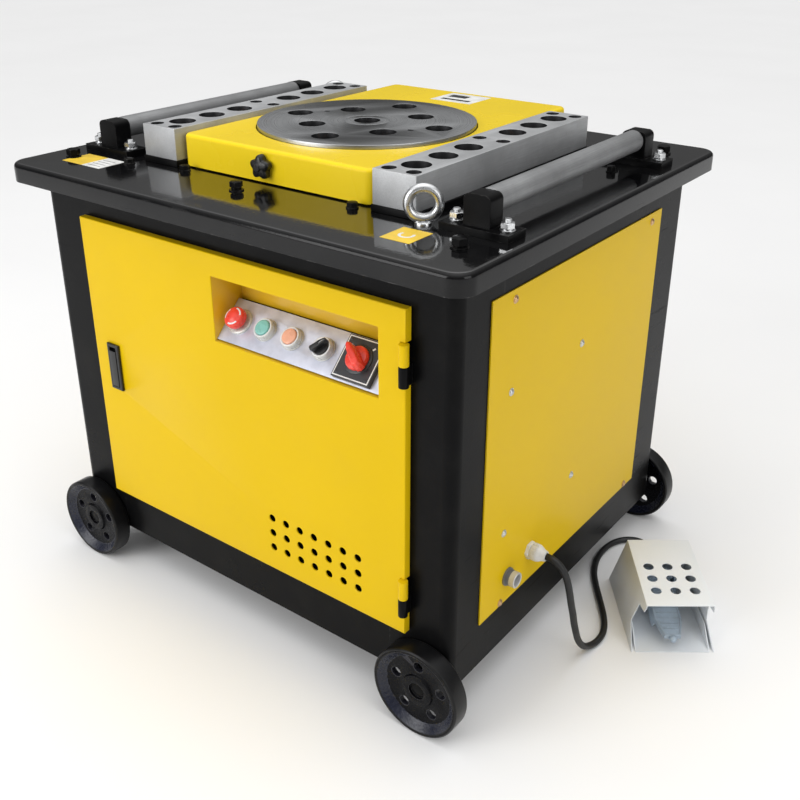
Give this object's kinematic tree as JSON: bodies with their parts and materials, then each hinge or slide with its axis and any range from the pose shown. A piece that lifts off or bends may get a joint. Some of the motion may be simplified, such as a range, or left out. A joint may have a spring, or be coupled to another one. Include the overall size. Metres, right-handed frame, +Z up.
{
  "type": "rebar bender",
  "caption": "Wheeled steel cabinet whose geared motor turns a drilled bending disc between pin bars and rollers, switched by a guarded foot pedal on a cable.",
  "frame": {"origin": "on the floor, under the middle of the whole set's bounding box, foot pedal included and cord left out", "axes": "+X to the right as seen facing the door, +Y from the door to the back of the cabinet, +Z up along the disc's axis"},
  "size_m": [1.0917, 0.764, 0.786],
  "materials": {
    "black_paint": "semi-gloss black paint, scuffed",
    "yellow_paint": "gloss yellow enamel",
    "yellow_trim": "gloss yellow enamel",
    "white_paint": "off-white powder coat",
    "grey_paint": "grey machine enamel",
    "cast_grey": "painted casting",
    "wheel_iron": "dark painted casting",
    "machined_steel": "turned or milled steel",
    "zinc_steel": "zinc plated",
    "copper_zinc": "copper-coloured zinc plating",
    "bronze": "cast bronze",
    "black_plastic": "moulded",
    "white_plastic": "moulded nylon",
    "dark_plastic": "moulded",
    "red_plastic": "moulded",
    "green_plastic": "moulded",
    "orange_plastic": "moulded",
    "aluminium_plate": "brushed sheet",
    "black_rubber": "extruded or moulded rubber"
  },
  "bodies": {
    "cabinet": {"corner_posts": "black_paint", "bottom_rails": "black_paint", "top_rails": "black_paint", "table_top": "black_paint", "floor_plate": "black_paint", "side_panel_right": "yellow_paint", "side_panel_left": "yellow_paint", "rear_panel": "yellow_paint", "panel_screws": "copper_zinc", "hinge_pins": "black_paint", "wheel_axles": "black_paint", "turntable_cover": "yellow_paint", "pin_bar_left": "machined_steel", "pin_bar_right": "machined_steel", "bar_base_plates": "black_paint", "roller_brackets": "black_paint", "bracket_bolts": "zinc_steel", "eye_bolts": "zinc_steel", "table_bolts": "black_paint", "gearbox_housing": "grey_paint", "shaft_bearings": "machined_steel", "motor_housing": "grey_paint", "drive_belts": "black_rubber", "electric_box": "white_paint", "cable_gland": "white_plastic", "power_inlet": "zinc_steel", "pedal_tray": "white_paint", "pedal_hood": "white_paint", "pedal_switch": "cast_grey", "pedal_strain_relief": "black_rubber", "pedal_cord": "black_rubber"},
    "door": {"door_panel": "yellow_paint", "control_recess": "yellow_trim", "door_hinge_barrels": "yellow_paint", "lock_housing": "black_plastic", "control_plate": "aluminium_plate", "estop_collar": "white_plastic", "button_bezels": "zinc_steel", "switch_plate": "dark_plastic"},
    "lock_lever": {"lock_lever": "black_plastic"},
    "estop_button": {"estop_button": "red_plastic"},
    "green_button": {"green_button": "green_plastic"},
    "orange_button": {"orange_button": "orange_plastic"},
    "selector": {"selector_knob": "black_plastic"},
    "main_switch": {"switch_handle": "red_plastic"},
    "turntable": {"turntable_disc": "machined_steel", "mandrel_bush": "machined_steel", "main_shaft": "machined_steel", "worm_wheel": "bronze"},
    "worm": {"worm_shaft": "machined_steel", "driven_pulley": "wheel_iron"},
    "motor_rotor": {"motor_pulley": "machined_steel"},
    "star_knob": {"star_knob": "black_plastic"},
    "roller_left": {"roller_left": "machined_steel"},
    "roller_right": {"roller_right": "machined_steel"},
    "wheel_front_left": {"wheel_front_left": "wheel_iron"},
    "wheel_front_right": {"wheel_front_right": "wheel_iron"},
    "wheel_rear_left": {"wheel_rear_left": "wheel_iron"},
    "wheel_rear_right": {"wheel_rear_right": "wheel_iron"},
    "pedal_lever": {"foot_pedal": "cast_grey"}
  },
  "joints": [
    {"name": "door_swing", "type": "hinge", "parent": "cabinet", "child": "door", "pos_m": [0.2264, -0.355, 0], "axis": [0, 0, 1], "range_deg": [0, 110]},
    {"name": "lock_lever_pull", "type": "hinge", "parent": "door", "child": "lock_lever", "pos_m": [-0.3641, -0.354, 0.433], "axis": [-1, 0, 0], "range_deg": [0, 35]},
    {"name": "estop_press", "type": "slide", "parent": "door", "child": "estop_button", "axis": [0, 0.7071, -0.7071], "range_m": [0, 0.005]},
    {"name": "green_press", "type": "slide", "parent": "door", "child": "green_button", "axis": [0, 0.7071, -0.7071], "range_m": [0, 0.0035], "stiffness_N_per_m": 400, "springref_m": -0.002},
    {"name": "orange_press", "type": "slide", "parent": "door", "child": "orange_button", "axis": [0, 0.7071, -0.7071], "range_m": [0, 0.0035], "stiffness_N_per_m": 400, "springref_m": -0.002},
    {"name": "selector_turn", "type": "hinge", "parent": "door", "child": "selector", "pos_m": [0.0674, -0.3244, 0.54539], "axis": [0, -0.7071, 0.7071], "range_deg": [0, 80]},
    {"name": "main_switch_turn", "type": "hinge", "parent": "door", "child": "main_switch", "pos_m": [0.1334, -0.3244, 0.54539], "axis": [0, 0.7071, -0.7071], "range_deg": [0, 90]},
    {"name": "turntable_spin", "type": "hinge", "parent": "cabinet", "child": "turntable", "pos_m": [-0.1076, -0.007, 0.785], "axis": [0, 0, 1], "continuous": true},
    {"name": "worm_spin", "type": "hinge", "parent": "cabinet", "child": "worm", "pos_m": [-0.1076, 0.1305, 0.609], "axis": [1, 0, 0], "continuous": true},
    {"name": "motor_spin", "type": "hinge", "parent": "cabinet", "child": "motor_rotor", "pos_m": [-0.1076, 0.053, 0.265], "axis": [1, 0, 0], "continuous": true},
    {"name": "star_knob_turn", "type": "hinge", "parent": "cabinet", "child": "star_knob", "pos_m": [-0.1201, -0.232, 0.754], "axis": [0, 1, 0], "continuous": true},
    {"name": "roller_left_spin", "type": "hinge", "parent": "cabinet", "child": "roller_left", "pos_m": [-0.4576, -0.007, 0.764], "axis": [0, 1, 0], "continuous": true},
    {"name": "roller_right_spin", "type": "hinge", "parent": "cabinet", "child": "roller_right", "pos_m": [0.2564, -0.007, 0.764], "axis": [0, 1, 0], "continuous": true},
    {"name": "wheel_front_left_spin", "type": "hinge", "parent": "cabinet", "child": "wheel_front_left", "pos_m": [-0.4736, -0.357, 0.073], "axis": [0, 1, 0], "continuous": true},
    {"name": "wheel_front_right_spin", "type": "hinge", "parent": "cabinet", "child": "wheel_front_right", "pos_m": [0.2584, -0.357, 0.073], "axis": [0, 1, 0], "continuous": true},
    {"name": "wheel_rear_left_spin", "type": "hinge", "parent": "cabinet", "child": "wheel_rear_left", "pos_m": [-0.4736, 0.357, 0.073], "axis": [0, 1, 0], "continuous": true},
    {"name": "wheel_rear_right_spin", "type": "hinge", "parent": "cabinet", "child": "wheel_rear_right", "pos_m": [0.2584, 0.357, 0.073], "axis": [0, 1, 0], "continuous": true},
    {"name": "pedal_press", "type": "hinge", "parent": "cabinet", "child": "pedal_lever", "pos_m": [0.4051, 0.1339, 0.046], "axis": [0.8, 0.6, 0], "range_deg": [0, 4.5], "stiffness_Nm_per_rad": 3, "springref_deg": -20.05}
  ],
  "couplings": [
    {"joint": "worm_spin", "follows": "turntable_spin", "ratio": 60},
    {"joint": "motor_spin", "follows": "turntable_spin", "ratio": 144}
  ]
}
